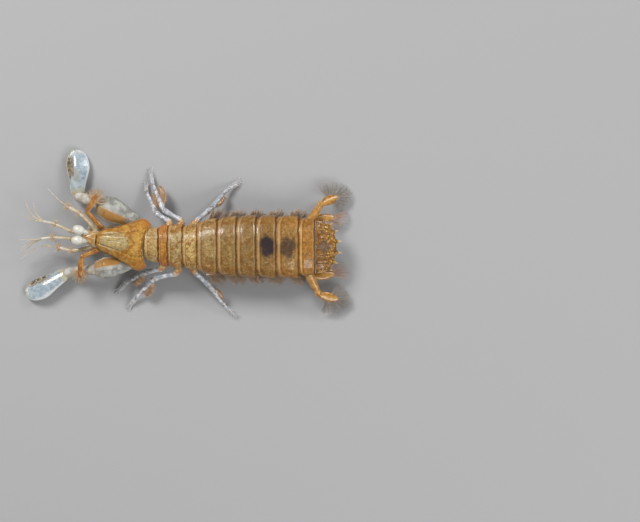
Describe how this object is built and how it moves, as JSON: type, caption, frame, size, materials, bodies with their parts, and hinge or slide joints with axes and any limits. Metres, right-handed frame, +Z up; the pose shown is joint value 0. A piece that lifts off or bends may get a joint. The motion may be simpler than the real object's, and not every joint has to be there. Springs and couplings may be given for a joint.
{
  "type": "mantis shrimp",
  "caption": "A small life-size mantis shrimp lying on its belly with its folding claws and walking legs spread and its tail fan open.",
  "frame": {"origin": "under the middle of the model's box, on the floor it rests on", "axes": "+Z up; the head points towards -X; the animal's right side is +Y"},
  "size_m": [0.092, 0.0474, 0.0139],
  "materials": {
    "shell": "wet, half see-through shell of the tail rings, olive to amber with dark rear edges",
    "amber": "wet amber shell of the shield, tail plate and tail fan stems",
    "thorax": "wet tan and orange bands",
    "claw": "glassy, milky blue-white",
    "merus": "glassy white with an amber streak",
    "tooth": "brown, toothed finger",
    "eye": "white, glossy",
    "feeler": "pale, half see-through",
    "leg": "blue-white with brown bands",
    "bristle": "brown bristles and feathery hairs",
    "flesh": "cream underside and mouth parts"
  },
  "bodies": {
    "root": {"carapace": "amber", "head_body": "flesh", "rostral_plate": "amber", "head_front": "amber", "eye_right": "eye", "eye_left": "eye", "claw_merus_right": "merus", "claw_knuckle_right": "merus", "claw_propodus_right": "claw", "claw_carpus_right": "merus", "claw_finger_right": "tooth", "claw_merus_left": "merus", "claw_knuckle_left": "merus", "claw_propodus_left": "claw", "claw_carpus_left": "merus", "claw_finger_left": "tooth", "antennal_scale_right": "amber", "antennal_scale_left": "amber", "antennule_right": "feeler", "antenna_right": "feeler", "antennule_left": "feeler", "antenna_left": "feeler", "maxilliped_right_1": "flesh", "maxilliped_left_1": "flesh", "maxilliped_right_2": "flesh", "maxilliped_left_2": "flesh", "thorax_5": "thorax", "thorax_6": "thorax", "thorax_7": "thorax", "thorax_8": "thorax", "abdomen_1": "shell", "abdomen_2": "shell", "abdomen_3": "shell", "abdomen_4": "shell", "abdomen_5": "shell", "abdomen_6": "shell", "telson": "amber", "leg_right_1": "leg", "leg_right_2": "leg", "leg_right_3": "leg", "leg_left_1": "leg", "leg_left_2": "leg", "leg_left_3": "leg", "uropod_stem_right": "amber", "uropod_outer_right": "bristle", "uropod_inner_right": "bristle", "uropod_stem_left": "amber", "uropod_outer_left": "bristle", "uropod_inner_left": "bristle", "swimmeret_right_1": "bristle", "swimmeret_left_1": "bristle", "swimmeret_right_2": "bristle", "swimmeret_left_2": "bristle", "swimmeret_right_3": "bristle", "swimmeret_left_3": "bristle", "swimmeret_right_4": "bristle", "swimmeret_left_4": "bristle", "swimmeret_right_5": "bristle", "swimmeret_left_5": "bristle"}
  },
  "joints": []
}
